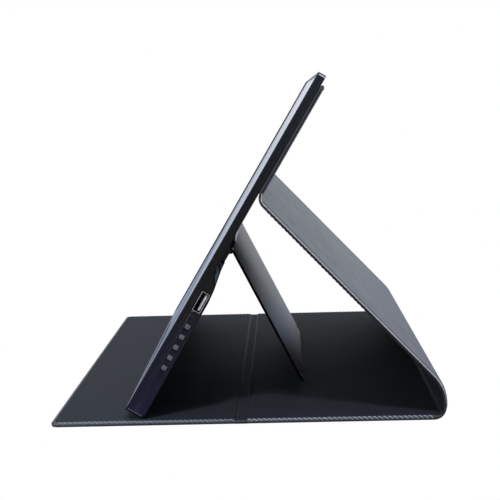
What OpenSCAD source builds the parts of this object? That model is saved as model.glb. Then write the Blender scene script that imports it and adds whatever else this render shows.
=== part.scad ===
// Portable monitor standing on its folding cover, screen towards -Y, buttons on the +X side.
// Origin: middle of the footprint, on the surface that the cover lies on.

/* [Monitor] */
// Radius of the monitor's corners, seen from the front
mon_r = 2.5; // [2:0.5:12]
// Thickness of the upper, thin part
case_d = 4.7; // [4.6:0.1:8]
// Depth of the seam between bezel and rear case
seam_d = 2.4; // [2:0.1:2.8]
// Wall of the rear case
case_wall = 1; // [0.8:0.1:1.1]
// Lean of the screen above horizontal
lean = 58.7; // [50:0.1:66]

/* [Screen] */
// Width of the lit area
active_w = 344.2; // [260:0.1:346]
// Height of the lit area
active_h = 193.6; // [150:0.1:196]
// Border above the lit area
top_border = 15.1; // [8:0.1:24]
// Border below the lit area
bottom_border = 29.6; // [20:0.1:36]
// Border at each side of the lit area
side_border = 13.9; // [10:0.1:20]
// Border of the display module around the lit area
module_rim = 3.5; // [2:0.5:5]
// Thickness of the front glass
glass_t = 0.7; // [0.5:0.1:0.9]
// Width of the bezel rim around the glass
rim_t = 1; // [0.6:0.1:2]
// How far the bezel rim stands in front of the glass
rim_lip = 0.7; // [0.1:0.1:1]
// Gap around the glass
glass_gap = 0.1; // [0.05:0.05:0.3]
// Thickness of the liquid crystal cell
cell_t = 1.1; // [0.8:0.1:1.2]
// Thickness of the diffuser films
film_t = 0.3; // [0.2:0.1:0.4]
// Thickness of the light guide
guide_t = 0.5; // [0.4:0.1:0.6]
// Thickness of the reflector
reflector_t = 0.2; // [0.1:0.05:0.3]
// Thickness of the display tray
tray_t = 0.3; // [0.2:0.1:0.4]
// Height of the light strip below the light guide
strip_h = 2.8; // [2:0.1:4]
// Number of lamps on the light strip
lamp_count = 36; // [12:1:60]

/* [Lower housing] */
// From the side socket up to where the housing meets the rear case
shoulder_run = 13.65; // [11:0.05:18]
// Wall behind the electronics bays
back_wall = 1.1; // [0.8:0.1:1.5]
// How far the foot stands out behind the shoulder
foot_swell = 0.6; // [0.2:0.1:2]
// Wall of the lower housing
housing_wall = 1.5; // [1:0.1:1.5]
// Chamfer along the foot of the housing
foot_chamfer = 1.3; // [0.5:0.1:2]
// Clearance behind the side socket
bay_gap = 0.3; // [0.2:0.1:0.8]

/* [Cover] */
// Overhang of the cover at each side of the monitor
cover_overhang = 5; // [3:0.5:8]
// Front panel, from its free edge to the fold strip
front_len = 113.7; // [95:0.1:130]
// Soft strip between the front and base panels
strip_len = 7.7; // [6.5:0.1:12]
// Base panel, from the fold strip to the rear crease
base_len = 114.1; // [100:0.1:140]
// Outer leather
leather_t = 0.9; // [0.6:0.1:1.2]
// Stiffening board
board_t = 1.4; // [1:0.1:2]
// Lining
lining_t = 0.7; // [0.4:0.1:1]
// Thickness of the fold strip
strip_t = 2.4; // [1.6:0.1:2.6]
// Radius of the cover's corners
cover_r = 5; // [2:0.5:10]
// Sewn hem around each board
hem_w = 4; // [3:0.5:8]
// Clearance between a board and its hem
board_gap = 0.2; // [0.1:0.1:0.5]
// Outer radius of the rear crease
crease_r = 9; // [4.2:0.1:12]
// Height of the corner between spine and back panel
spine_h = 19.5; // [16:0.1:26]
// Open joint at the middle of the spine's bend
bend_gap = 2.6; // [2:0.1:5]
// Height of the upper fold, along the monitor
fold_h = 154.2; // [135:0.1:170]
// Radius of the upper fold at mid thickness
fold_r = 6.3; // [5:0.1:9]
// Soft part of the upper fold past its bend
fold_run = 2.9; // [2.4:0.1:5]
// Film that bonds the flap to the monitor
bond_t = 0.2; // [0.1:0.05:0.4]
// Board inside the flap
flap_board_t = 1.5; // [0.6:0.1:2]
// Distance of the flap's top edge below the monitor's top
flap_drop = 5.8; // [2:0.1:12]

/* [Stand] */
// Foot of the monitor, behind the cover's free edge
foot_setback = 46.4; // [30:0.1:70]
// Clearance at rest between what stands and what it stands on
rest_gap = 0.3; // [0.1:0.05:0.5]
// Distance from each side of the monitor to the kickstand
kick_margin = 92; // [77:1:120]
// Slope of the kickstand, below horizontal
kick_pitch = 63.59; // [60:0.01:72]
// Thickness of the kickstand plate
kick_t = 1.7; // [1:0.1:1.8]
// Offset of the plate's inner face from the pin
kick_offset = 0.3; // [0.2:0.05:0.6]
// Radius of the kickstand's lower corners
kick_r = 4; // [1:0.5:10]
// From the housing's top edge up to the hinge pin
pin_step = 5.3; // [3:0.1:8]
// Depth of the hinge pin behind the rear case
pin_rise = 4.5; // [4.3:0.1:5]
// Radius of the hinge pins
pin_r = 0.8; // [0.6:0.1:1.1]
// Length of each hinge pin
pin_len = 10.3; // [7:0.1:14]
// Radius of the hinge barrel
barrel_r = 2; // [1.7:0.1:2.1]
// Running clearance of a pin in the barrel
pin_gap = 0.05; // [0.02:0.01:0.1]
// Clearance around the barrel and beside the plate
barrel_gap = 0.3; // [0.2:0.05:0.5]
// Length of the ear at each end of the hinge
ear_len = 3.7; // [3:0.1:6]
// Radius of the rubber pads on the kickstand
pad_r = 1.8; // [1:0.1:3]
// Thickness of the rubber pads
pad_t = 0.5; // [0.3:0.1:0.6]

/* [Controls and sockets] */
// Height of the lowest button's middle
button_h = 35.3; // [32:0.1:40]
// Distance from one button to the next
button_pitch = 7.38; // [6.4:0.01:7.8]
// Depth of the buttons' middle behind the rear case
button_rise = 2.8; // [2.7:0.1:3]
// Side of a button's square cap
button_a = 3.8; // [3:0.1:4]
// Corner radius of a button
button_r = 0.9; // [0.4:0.1:1.2]
// Clearance around a button
button_gap = 0.2; // [0.1:0.05:0.3]
// Travel of a button
button_travel = 0.4; // [0.2:0.05:0.45]
// From the top button's middle up to the status light
light_step = 7.18; // [6:0.01:8.5]
// Depth of the status light's middle behind the rear case
light_rise = 1.8; // [1.5:0.1:3]
// Radius of the status light
light_r = 0.6; // [0.4:0.1:0.9]
// From the status light up to the side socket's middle
usb_step = 10; // [9:0.1:12]
// How far the side socket sinks into the rear case
usb_sink = 0.2; // [0.1:0.05:0.3]
// Side socket's shell, along the monitor's side
usb_a = 13.1; // [12.5:0.1:13.4]
// Side socket's shell, across the thickness
usb_b = 5.2; // [4.8:0.1:5.3]
// Height of the video socket's middle, far side
video_h = 70; // [64:0.1:74]
// Height of the power socket's middle, far side
power_h = 50; // [44:0.1:54]
// Video socket's shell, along the monitor's side
video_a = 11.2; // [9:0.1:12]
// Power socket's shell, along the monitor's side
power_a = 8.9; // [8:0.1:10]
// Depth of both sockets on the far side
socket_b = 3.2; // [3:0.1:3.4]

/* [Hidden] */
$fn = 48;
EPS = 0.02;
mon_w = active_w + 2 * side_border;
mon_h = top_border + active_h + bottom_border;
cover_w = mon_w + 2 * cover_overhang;
kick_w = mon_w - 2 * kick_margin;
usb_d = case_d + usb_b / 2 - usb_sink;
bay_d = usb_d + usb_b / 2 + bay_gap;
shoulder_d = bay_d + back_wall;
housing_d = shoulder_d + foot_swell;
button_d = case_d + button_rise;
light_d = case_d + light_rise;
pin_d = case_d + pin_rise;
light_h = button_h + 4 * button_pitch + light_step;
usb_h = light_h + usb_step;
housing_h = usb_h + usb_a / 2 + shoulder_run;
pin_h = housing_h + pin_step;
cover_t = leather_t + board_t + lining_t;
front_end = front_len;
base_start = front_len + strip_len;
base_end = base_start + base_len;
y_back = base_end + crease_r;
y_mid = y_back / 2;
side_x = mon_w / 2;
up = [cos(lean), sin(lean)];
back = [sin(lean), -cos(lean)];
heel_d = housing_d - foot_chamfer;
foot_z = cover_t + rest_gap + heel_d * cos(lean);
function section(h, d) = [foot_setback, foot_z] + h * up + d * back;
flap_t = bond_t + flap_board_t + leather_t;
flap_mid = case_d + flap_t / 2;
crease_corner = [y_back - cover_t / 2, cover_t / 2];
spine_corner = [y_back - cover_t / 2, spine_h];
fold_corner = section(fold_h, flap_mid);
panel_run = fold_corner - spine_corner;
panel_len = norm(panel_run);
panel_angle = atan2(panel_run[1], -panel_run[0]);
spine_turn = 90 - panel_angle;
spine_tan = spine_h - crease_r;
spine_r = spine_tan / tan(spine_turn / 2);
bend_angle = bend_gap / spine_r * 180 / PI;
spine_part = (spine_turn - bend_angle) / 2;
fold_turn = 180 - panel_angle - lean;
fold_tan = fold_r * tan(fold_turn / 2);
fold_start = fold_h + fold_tan;
bend_steps = 16;
flap_top = mon_h - flap_drop;
module_w = active_w + 2 * module_rim;
module_h = active_h + 2 * module_rim;
module_h0 = mon_h - top_border - active_h - module_rim;
cell_d = glass_t;
film_d = cell_d + cell_t;
guide_d = film_d + film_t;
reflector_d = guide_d + guide_t;
tray_d = reflector_d + reflector_t;
tray_wall = 0.5;
tray_gap = 0.2;
shoulder_h = housing_h - 18;
edge_h = housing_h - 10;
edge_d = shoulder_d - 0.7;
slope_h = housing_h - 6.4;
slope_d = shoulder_d - 1.5;
bay_top = shoulder_h + 5.8;
kick_half = kick_w / 2;
block_half = kick_half + barrel_gap + ear_len;
block_h0 = pin_h - 8.5;
block_d = pin_d + kick_offset - 0.1;
rib_d = block_d + 0.3;
recess_half = kick_half + 1.2;
recess_d = pin_d + kick_offset - 0.4;
kick_drop = section(pin_h, pin_d)[1] - cover_t - rest_gap;
kick_len = (kick_drop + kick_offset * cos(kick_pitch)) / sin(kick_pitch);
kick_angle = 180 - lean - kick_pitch;
recess_h0 = pin_h - kick_len - 0.8;
bay_x = recess_half + housing_wall;
board_d = case_d + 0.6;
pcb_t = 1;
pcb_back = board_d + pcb_t;
far_board_x0 = side_x - 3;
far_board_x1 = bay_x + 11;
near_board_x0 = bay_x + 15;
near_board_x1 = side_x - 6.5;
key_board_x = side_x - 5.8;
switch_x = key_board_x + pcb_t;
wall_in = side_x - housing_wall;
flange_x = wall_in - 0.1;
flange_t = 0.7;
flange_half_d = button_a / 2 + 0.1;
flange_half_h = button_a / 2 + 0.9;
switch_len = flange_x - flange_t - 0.1 - button_travel - switch_x;
usb_len = 14;
usb_wall = 0.3;
socket_gap = 0.2;
socket_d = pcb_back + socket_b / 2;
socket_len = 8;
video_r = 0.6;
power_r = 1.5;
post_r = 2.6;
screw_r = 0.9;
screw_head_r = 1.8;
posts = [[bay_x + 3.3, 12], [bay_x + 3.3, bay_top - 2], [side_x - 10, 6]];
board_screw_r = 0.6;
main_board_h0 = 16;
main_board_h1 = usb_h + 2;
board_screws_far = [for (x = [far_board_x1 + 4, far_board_x0 - 5])
    for (h = [main_board_h0 + 4, main_board_h1 - 4])
        [x, h]];
board_screws_near = [[near_board_x0 + 4, usb_h - 16], [near_board_x0 + 4, usb_h - 1]];
slot_x = bay_x + 6.5;
ribbon_t = 0.2;
leather_c = "#5a606e";
lining_c = "#26282c";
board_c = "#8a7f6a";
case_c = "#1e2230";
bezel_c = "#15171b";
metal_c = "#b9bcc4";
kick_c = "#4a4a50";
pcb_c = "#1f5a38";

// A section in (Y, Z), measured from the cover's free edge, drawn out along X
module along_x(w) {
    translate([0, -y_mid, 0])
        rotate([90, 0, 90])
            linear_extrude(w, center = true)
                children();
}

// Part of a ring between two angles less than half a turn apart
module ring_part(r1, r2, a1, a2) {
    reach = 2 * r2;
    mid = (a1 + a2) / 2;
    intersection() {
        difference() {
            circle(r2, $fn = 96);
            circle(r1, $fn = 96);
        }
        polygon([[0, 0], for (a = [a1, mid, a2]) reach * [cos(a), sin(a)]]);
    }
}

// One face of a bent strip: its bend in steps, and after the last one its straight run
function strip_edge(r, a1, turn, run, steps) = [for (i = steps)
    let (a = a1 + min(i, bend_steps) / bend_steps * turn)
        r * [cos(a), sin(a)] + (i > bend_steps ? run : 0) * [-sin(a), cos(a)]];

// Strip between two radii that bends through an angle and runs straight on
module bent_strip(r1, r2, a1, turn, run) {
    polygon(concat(
        strip_edge(r2, a1, turn, run, [for (i = [0 : bend_steps + 1]) i]),
        strip_edge(r1, a1, turn, run, [for (i = [bend_steps + 1 : -1 : 0]) i])));
}

// Outline with its two corners at y = 0 rounded
module tab_outline(w, len, r) {
    translate([-w / 2, r])
        square([w, len - r]);
    translate([-w / 2 + r, 0])
        square([w - 2 * r, r]);
    for (s = [-1, 1])
        translate([s * (w / 2 - r), r])
            circle(r);
}

// Outline with four rounded corners, standing on y = 0
module round_outline(w, h, r) {
    translate([-w / 2, r])
        square([w, h - 2 * r]);
    translate([-w / 2 + r, 0])
        square([w - 2 * r, h]);
    for (s = [-1, 1])
        for (y = [r, h - r])
            translate([s * (w / 2 - r), y])
                circle(r);
}

// Frame of the monitor: X across, Y into its depth, Z up its face
module on_monitor() {
    translate([0, foot_setback - y_mid, foot_z])
        rotate([lean - 90, 0, 0])
            children();
}

// Frame of the kickstand: pin along X, plate down -Z, outer face +Y
module on_kickstand() {
    on_monitor()
        translate([0, pin_d, pin_h])
            rotate([kick_angle, 0, 0])
                children();
}

// Box between two depths and two heights on the monitor
module block(x0, x1, d0, d1, h0, h1) {
    translate([x0, d0, h0])
        cube([x1 - x0, d1 - d0, h1 - h0]);
}

// Rounded plate of the monitor's outline, drawn in from its edge
module case_plate(inset, d0, d1) {
    translate([0, d1, inset])
        rotate([90, 0, 0])
            linear_extrude(d1 - d0)
                round_outline(mon_w - 2 * inset, mon_h - 2 * inset, mon_r - min(inset, mon_r - 1));
}

// Plate of the display module's outline, grown at its edge
module module_plate(grow, d0, d1) {
    block(-module_w / 2 - grow, module_w / 2 + grow, d0, d1, module_h0 - grow, module_h0 + module_h + grow);
}

// Round rod along X
module rod_x(x0, x1, d, h, r) {
    translate([x0, d, h])
        rotate([0, 90, 0])
            cylinder(h = x1 - x0, r = r);
}

// Round rod along the monitor's depth
module rod_d(x, d0, d1, h, r) {
    translate([x, d0, h])
        rotate([-90, 0, 0])
            cylinder(h = d1 - d0, r = r);
}

// Flat panel that lies on the surface: hemmed leather with a pocket for its board
module front_leather() {
    color(leather_c)
        translate([0, -y_mid, 0])
            difference() {
                linear_extrude(leather_t + board_t)
                    tab_outline(cover_w, front_end, cover_r);
                translate([-cover_w / 2 + hem_w, hem_w, leather_t])
                    cube([cover_w - 2 * hem_w, front_len, cover_t]);
            }
}

module front_board() {
    color(board_c)
        translate([-cover_w / 2 + hem_w + board_gap, hem_w + board_gap - y_mid, leather_t])
            cube([cover_w - 2 * (hem_w + board_gap), front_len - hem_w - board_gap, board_t]);
}

module front_lining() {
    color(lining_c)
        translate([0, -y_mid, leather_t + board_t])
            linear_extrude(lining_t)
                tab_outline(cover_w, front_end, cover_r);
}

module fold_strip() {
    color(lining_c)
        along_x(cover_w)
            translate([front_end, 0])
                square([strip_len, strip_t]);
}

module base_layer(z0, t) {
    translate([base_start, z0])
        square([base_len, t]);
}

module base_leather() {
    color(leather_c)
        difference() {
            along_x(cover_w)
                base_layer(0, leather_t + board_t);
            along_x(cover_w - 2 * hem_w)
                base_layer(leather_t, cover_t);
        }
}

module base_board() {
    color(board_c)
        along_x(cover_w - 2 * (hem_w + board_gap))
            base_layer(leather_t, board_t);
}

module base_lining() {
    color(lining_c)
        along_x(cover_w)
            base_layer(leather_t + board_t, lining_t);
}

module rear_crease() {
    color(leather_c)
        along_x(cover_w)
            translate([base_end, crease_r])
                ring_part(crease_r - cover_t, crease_r, -90, 0);
}

// Spine section between two angles, from its outer face inwards
module spine_layer(z0, t, a1, a2) {
    outer = spine_r + cover_t / 2 - z0;
    translate([crease_corner[0] - spine_r, crease_r])
        ring_part(outer - t, outer, a1, a2);
}

module spine_leather() {
    color(leather_c)
        difference() {
            along_x(cover_w)
                spine_layer(0, leather_t + board_t, 0, spine_part);
            along_x(cover_w - 2 * hem_w)
                spine_layer(leather_t, cover_t, 0, spine_part);
        }
}

module spine_board() {
    color(board_c)
        along_x(cover_w - 2 * (hem_w + board_gap))
            spine_layer(leather_t, board_t, 0, spine_part);
}

module spine_lining() {
    color(lining_c)
        along_x(cover_w)
            spine_layer(leather_t + board_t, lining_t, 0, spine_part);
}

module spine_bend() {
    color(leather_c)
        along_x(cover_w)
            spine_layer(0, cover_t, spine_part, spine_part + bend_angle);
}

// Back panel section: the spine's upper bend and the straight run to the upper fold
module back_layer(z0, t) {
    outer = spine_r + cover_t / 2 - z0;
    translate([crease_corner[0] - spine_r, crease_r])
        bent_strip(outer - t, outer, spine_part + bend_angle, spine_part,
            panel_len - spine_tan - fold_tan - fold_run);
}

module back_leather() {
    color(leather_c)
        difference() {
            along_x(cover_w)
                back_layer(0, leather_t + board_t);
            along_x(cover_w - 2 * hem_w)
                back_layer(leather_t, cover_t);
        }
}

module back_board() {
    color(board_c)
        along_x(cover_w - 2 * (hem_w + board_gap))
            back_layer(leather_t, board_t);
}

module back_lining() {
    color(lining_c)
        along_x(cover_w)
            back_layer(leather_t + board_t, lining_t);
}

// Soft leather between the flap and the back panel
module top_fold() {
    color(leather_c)
        on_monitor()
            rotate([90, 0, 90])
                linear_extrude(cover_w, center = true)
                    translate([flap_mid + fold_r, fold_start])
                        bent_strip(fold_r - flap_t / 2, fold_r + flap_t / 2, 180, fold_turn, fold_run);
}

// Flap outline on the monitor's back, rounded at its top corners
module flap_plate(inset, d0, d1) {
    translate([0, d0, flap_top - inset])
        rotate([-90, 0, 0])
            linear_extrude(d1 - d0)
                tab_outline(cover_w - 2 * inset, flap_top - inset - fold_start, cover_r);
}

module flap_leather() {
    color(leather_c)
        on_monitor()
            difference() {
                flap_plate(0, case_d + bond_t, case_d + flap_t);
                flap_plate(hem_w, case_d, case_d + bond_t + flap_board_t);
            }
}

module flap_board() {
    color(board_c)
        on_monitor()
            flap_plate(hem_w + board_gap, case_d + bond_t, case_d + bond_t + flap_board_t);
}

module flap_bond() {
    color("#c8c8c0")
        on_monitor()
            block(1 - side_x, side_x - 1, case_d, case_d + bond_t, fold_start + 1, flap_top - cover_r);
}

module front_glass() {
    color("#30343c")
        on_monitor()
            case_plate(rim_t + glass_gap, 0, glass_t);
}

module bezel_frame() {
    color(bezel_c)
        on_monitor()
            difference() {
                case_plate(0, -rim_lip, seam_d);
                case_plate(rim_t, -rim_lip - 1, glass_t);
                module_plate(tray_wall + tray_gap, glass_t - EPS, seam_d + 1);
            }
}

module display_cell() {
    color("#0b0c10")
        on_monitor()
            module_plate(0, cell_d, film_d);
}

module diffuser_films() {
    color("#e8ecf0")
        on_monitor()
            module_plate(0, film_d, guide_d);
}

module light_guide() {
    color("#dfe8f0")
        on_monitor()
            block(-module_w / 2, module_w / 2, guide_d, reflector_d,
                module_h0 + strip_h + 0.1, module_h0 + module_h);
}

module reflector_sheet() {
    color("#f4f4f4")
        on_monitor()
            module_plate(0, reflector_d, tray_d);
}

// Narrow circuit strip with a row of lamps facing the light guide's edge
module light_strip() {
    color("#e8d890")
        on_monitor() {
            block(-active_w / 2, active_w / 2, guide_d, reflector_d, module_h0, module_h0 + strip_h - 1);
            for (i = [0 : lamp_count - 1])
                translate([(i + 0.5 - lamp_count / 2) * active_w / lamp_count, 0, 0])
                    block(-1.5, 1.5, guide_d, reflector_d,
                        module_h0 + strip_h - 1 - EPS, module_h0 + strip_h);
        }
}

module display_tray() {
    color(metal_c)
        on_monitor()
            difference() {
                module_plate(tray_wall, cell_d, tray_d + tray_t);
                module_plate(0, cell_d - 1, tray_d);
            }
}

// Screw places on the housing, on both sides
module at_posts() {
    for (s = [-1, 1])
        for (p = posts)
            translate([s * p[0], 0, p[1]])
                children();
}

// Screw places on the circuit boards
module at_board_screws() {
    for (p = board_screws_far)
        translate([-p[0], 0, p[1]])
            children();
    for (p = board_screws_near)
        translate([p[0], 0, p[1]])
            children();
}

module rear_case() {
    color(case_c)
        on_monitor()
            difference() {
                union() {
                    case_plate(0, seam_d, case_d);
                    at_board_screws()
                        rod_d(0, case_d - EPS, board_d, 0, 2.2);
                }
                case_plate(case_wall, seam_d - 1, case_d - case_wall);
                at_board_screws()
                    rod_d(0, case_d - 0.9, board_d + 1, 0, board_screw_r);
                at_posts()
                    rod_d(0, case_d - case_wall - 1, case_d + 1, 0, screw_r);
                block(-slot_x - 3, -slot_x, case_d - 2, case_d + 1, 38, 62);
                block(side_x - usb_len - 1, side_x + 1, usb_d - usb_b / 2 - socket_gap, case_d + 1,
                    usb_h - usb_a / 2 - socket_gap, usb_h + usb_a / 2 + socket_gap);
            }
}

// Side section of the lower housing, (depth, height)
module housing_section() {
    polygon([[case_d, 0], [heel_d, 0], [housing_d, foot_chamfer], [shoulder_d, shoulder_h], [edge_d, edge_h],
        [slope_d, slope_h], [case_d, housing_h]]);
}

// Side section of the rib that runs up to the hinge block, (depth, height)
module rib_section() {
    polygon([[case_d, shoulder_h], [shoulder_d, shoulder_h], [rib_d, block_h0], [case_d, block_h0]]);
}

// Side section of the hinge block, (depth, height)
module block_section() {
    polygon([[case_d, block_h0], [block_d, block_h0], [block_d, pin_h + 6.9], [block_d - 3, pin_h + 10],
        [case_d, pin_h + 10.8]]);
}

// A monitor section, (depth, height), drawn out along X
module monitor_run(w) {
    rotate([90, 0, 90])
        linear_extrude(w, center = true)
            children();
}

// Hole in the far side wall for a socket
module socket_hole(h, a, r) {
    translate([-side_x - 1, socket_d, h])
        socket_form(housing_wall + 2, a + 2 * socket_gap, socket_b + 2 * socket_gap, r + socket_gap);
}

// Square with rounded corners, drawn along X
module key(x0, x1, a, r) {
    translate([x0, 0, -a / 2])
        rotate([90, 0, 90])
            linear_extrude(x1 - x0)
                round_outline(a, a, r);
}

// Middle of each button's face
module at_button(i) {
    translate([0, button_d, button_h + i * button_pitch])
        children();
}

module lower_housing() {
    color(case_c)
        on_monitor()
            difference() {
                union() {
                    intersection() {
                        monitor_run(mon_w)
                            housing_section();
                        case_plate(0, 0, housing_d + 1);
                    }
                    monitor_run(2 * block_half)
                        rib_section();
                }
                difference() {
                    union() {
                        for (s = [0, 1])
                            mirror([s, 0, 0])
                                block(bay_x, wall_in, case_d - 1, bay_d, housing_wall, bay_top);
                        block(-bay_x - EPS, bay_x + EPS, case_d - 1, recess_d - case_wall,
                            housing_wall, bay_top);
                    }
                    at_posts()
                        rod_d(0, case_d, bay_d + 1, 0, post_r);
                }
                block(-recess_half, recess_half, recess_d, housing_d + 1, recess_h0, housing_h);
                block(-block_half - 0.2, block_half + 0.2, case_d - 1, housing_d + 1,
                    block_h0 - 0.1, housing_h + 1);
                at_posts() {
                    rod_d(0, case_d - 1, housing_d + 1, 0, screw_r);
                    rod_d(0, bay_d - 0.2, housing_d + 1, 0, screw_head_r + 0.2);
                }
                block(wall_in - 1, side_x + 1, usb_d - usb_b / 2 - socket_gap, usb_d + usb_b / 2 + socket_gap,
                    usb_h - usb_a / 2 - socket_gap, usb_h + usb_a / 2 + socket_gap);
                for (i = [0 : 4])
                    at_button(i)
                        key(wall_in - 1, side_x + 1, button_a + 2 * button_gap, button_r + button_gap);
                rod_x(wall_in - 1, side_x + 1, light_d, light_h, light_r + 0.05);
                socket_hole(video_h, video_a, video_r);
                socket_hole(power_h, power_a, power_r);
            }
}

module case_screws() {
    color(metal_c)
        on_monitor()
            at_posts() {
                rod_d(0, case_d - 1.1, bay_d - 0.2 + EPS, 0, screw_r);
                rod_d(0, bay_d - 0.2, bay_d + 0.7, 0, screw_head_r);
            }
}

module main_board() {
    color(pcb_c)
        on_monitor()
            difference() {
                block(-far_board_x0, -far_board_x1, board_d, pcb_back, main_board_h0, main_board_h1);
                at_board_screws()
                    rod_d(0, board_d - 1, pcb_back + 1, 0, board_screw_r + 0.2);
            }
}

module board_chips() {
    color("#202020")
        on_monitor() {
            block(-far_board_x1 - 44, -far_board_x1 - 30, pcb_back, pcb_back + 1.2, 44, 58);
            block(-far_board_x1 - 42, -far_board_x1 - 32, pcb_back, pcb_back + 1, 64, 72);
            block(-far_board_x1 - 44, -far_board_x1 - 36, pcb_back, pcb_back + 2.4, 24, 32);
            block(-far_board_x1 - 28, -far_board_x1 - 20, pcb_back, pcb_back + 2.4, 24, 32);
            block(-far_board_x1 - 6, -far_board_x1 - 1, pcb_back, pcb_back + 1.4, 36, 64);
            for (i = [0 : 5])
                translate([i * -3.2, 0, 0])
                    block(-far_board_x1 - 22, -far_board_x1 - 20, pcb_back, pcb_back + 0.8, 40, 41.4);
        }
}

module board_screws() {
    color(metal_c)
        on_monitor()
            at_board_screws() {
                rod_d(0, case_d - 0.8, pcb_back + EPS, 0, board_screw_r);
                rod_d(0, pcb_back, pcb_back + 0.8, 0, 1.4);
            }
}

module usb_board() {
    color(pcb_c)
        on_monitor()
            difference() {
                block(near_board_x0, near_board_x1, board_d, pcb_back, usb_h - 20, usb_h + 3);
                at_board_screws()
                    rod_d(0, board_d - 1, pcb_back + 1, 0, board_screw_r + 0.2);
                block(side_x - usb_len - 0.2, side_x, board_d - 1, pcb_back + 1,
                    usb_h - usb_a / 2 - 0.2, bay_top);
            }
}

module link_cable() {
    color("#d8d4c4")
        on_monitor()
            block(-far_board_x1 - 8, near_board_x0 + 8, case_d, case_d + ribbon_t,
                usb_h - 13, usb_h - 5);
}

// Ribbon from behind the display, through the rear case, to the main board
module panel_cable() {
    color("#d8d4c4")
        on_monitor() {
            block(-slot_x - 1, -slot_x + 34, tray_d + tray_t, tray_d + tray_t + ribbon_t, 40, 60);
            block(-slot_x - 1, -slot_x - 1 + ribbon_t, tray_d + tray_t, pcb_back + ribbon_t, 40, 60);
            block(-far_board_x1 - 1, -slot_x - 1 + EPS, pcb_back, pcb_back + ribbon_t, 40, 60);
        }
}

module button_board() {
    color(pcb_c)
        on_monitor()
            block(key_board_x, switch_x, case_d + 0.2, bay_d, button_h - 5.3, usb_h - usb_a / 2 - 0.6);
}

module button_cable() {
    color("#d8d4c4")
        on_monitor()
            block(near_board_x1 - 8, key_board_x, pcb_back, pcb_back + ribbon_t, usb_h - 18, usb_h - 10);
}

module button_switches() {
    color("#c8c8c8")
        on_monitor()
            for (i = [0 : 4])
                at_button(i) {
                    block(switch_x, switch_x + switch_len - 0.4, -1.6, 1.6, -1.6, 1.6);
                    rod_x(switch_x, switch_x + switch_len, 0, 0, 0.8);
                }
}

module button_cap(i) {
    color("#6c7078")
        on_monitor()
            at_button(i) {
                key(flange_x - EPS, side_x + 0.1, button_a, button_r);
                block(flange_x - flange_t, flange_x, -flange_half_d, flange_half_d,
                    -flange_half_h, flange_half_h);
            }
}

module button_1() { button_cap(0); }
module button_2() { button_cap(1); }
module button_3() { button_cap(2); }
module button_4() { button_cap(3); }
module button_5() { button_cap(4); }

module status_light() {
    color("#e8f4ff")
        on_monitor() {
            rod_x(switch_x, side_x, light_d, light_h, light_r);
            block(switch_x, switch_x + 1, light_d - 0.9, light_d + 0.9, light_h - 0.9, light_h + 0.9);
        }
}

module usb_shell() {
    color(metal_c)
        on_monitor()
            translate([side_x - usb_len, usb_d - usb_b / 2, usb_h - usb_a / 2])
                difference() {
                    cube([usb_len, usb_b, usb_a]);
                    translate([1, usb_wall, usb_wall])
                        cube([usb_len, usb_b - 2 * usb_wall, usb_a - 2 * usb_wall]);
                }
}

module usb_tongue() {
    color("#e8e8e8")
        on_monitor()
            translate([side_x - usb_len + 1, usb_d + 0.1, usb_h - usb_a / 2 + 1])
                cube([usb_len - 2.2, 1.84, usb_a - 2]);
}

// Socket body along X: shell of height a and depth b with rounded ends
module socket_form(len, a, b, r) {
    translate([0, 0, -a / 2])
        rotate([90, 0, 90])
            linear_extrude(len)
                round_outline(b, a, r);
}

module far_socket(h, a, r, tongue) {
    translate([0.1 - side_x, socket_d, h]) {
        difference() {
            socket_form(socket_len, a, socket_b, r);
            translate([-1, 0, 0])
                socket_form(socket_len, a - 2 * usb_wall, socket_b - 2 * usb_wall, r - usb_wall);
        }
        translate([1, -0.35, -tongue / 2])
            cube([socket_len - 1.5, 0.7, tongue]);
    }
}

module video_socket() {
    color(metal_c)
        on_monitor()
            far_socket(video_h, video_a, video_r, video_a - 2.8);
}

module power_socket() {
    color(metal_c)
        on_monitor()
            far_socket(power_h, power_a, power_r, power_a - 2.3);
}

module hinge_block() {
    color(case_c)
        on_monitor()
            difference() {
                union() {
                    monitor_run(2 * block_half)
                        block_section();
                    rod_x(-block_half, block_half, pin_d, pin_h, barrel_r);
                }
                rod_x(-kick_half - barrel_gap, kick_half + barrel_gap, pin_d, pin_h, barrel_r + barrel_gap);
                for (s = [0, 1])
                    mirror([s, 0, 0])
                        rod_x(kick_half, kick_half + pin_len - 7, pin_d, pin_h, pin_r);
            }
}

module hinge_pins() {
    color(metal_c)
        on_monitor()
            for (s = [0, 1])
                mirror([s, 0, 0])
                    rod_x(kick_half - 7, kick_half + pin_len - 7, pin_d, pin_h, pin_r);
}

module kickstand_plate() {
    color(kick_c)
        on_kickstand()
            difference() {
                union() {
                    rod_x(-kick_half, kick_half, 0, 0, barrel_r);
                    translate([0, kick_offset + kick_t, -kick_len])
                        rotate([90, 0, 0])
                            linear_extrude(kick_t)
                                tab_outline(kick_w, kick_len, kick_r);
                }
                for (s = [0, 1])
                    mirror([s, 0, 0])
                        rod_x(kick_half - 7.5, kick_half + 1, 0, 0, pin_r + pin_gap);
            }
}

module kickstand_pads() {
    color("#3a3a3c")
        on_kickstand()
            for (s = [-1, 1])
                rod_d(s * (kick_half - 4), kick_offset + kick_t, kick_offset + kick_t + pad_t,
                    4.5 - kick_len, pad_r);
}

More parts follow.
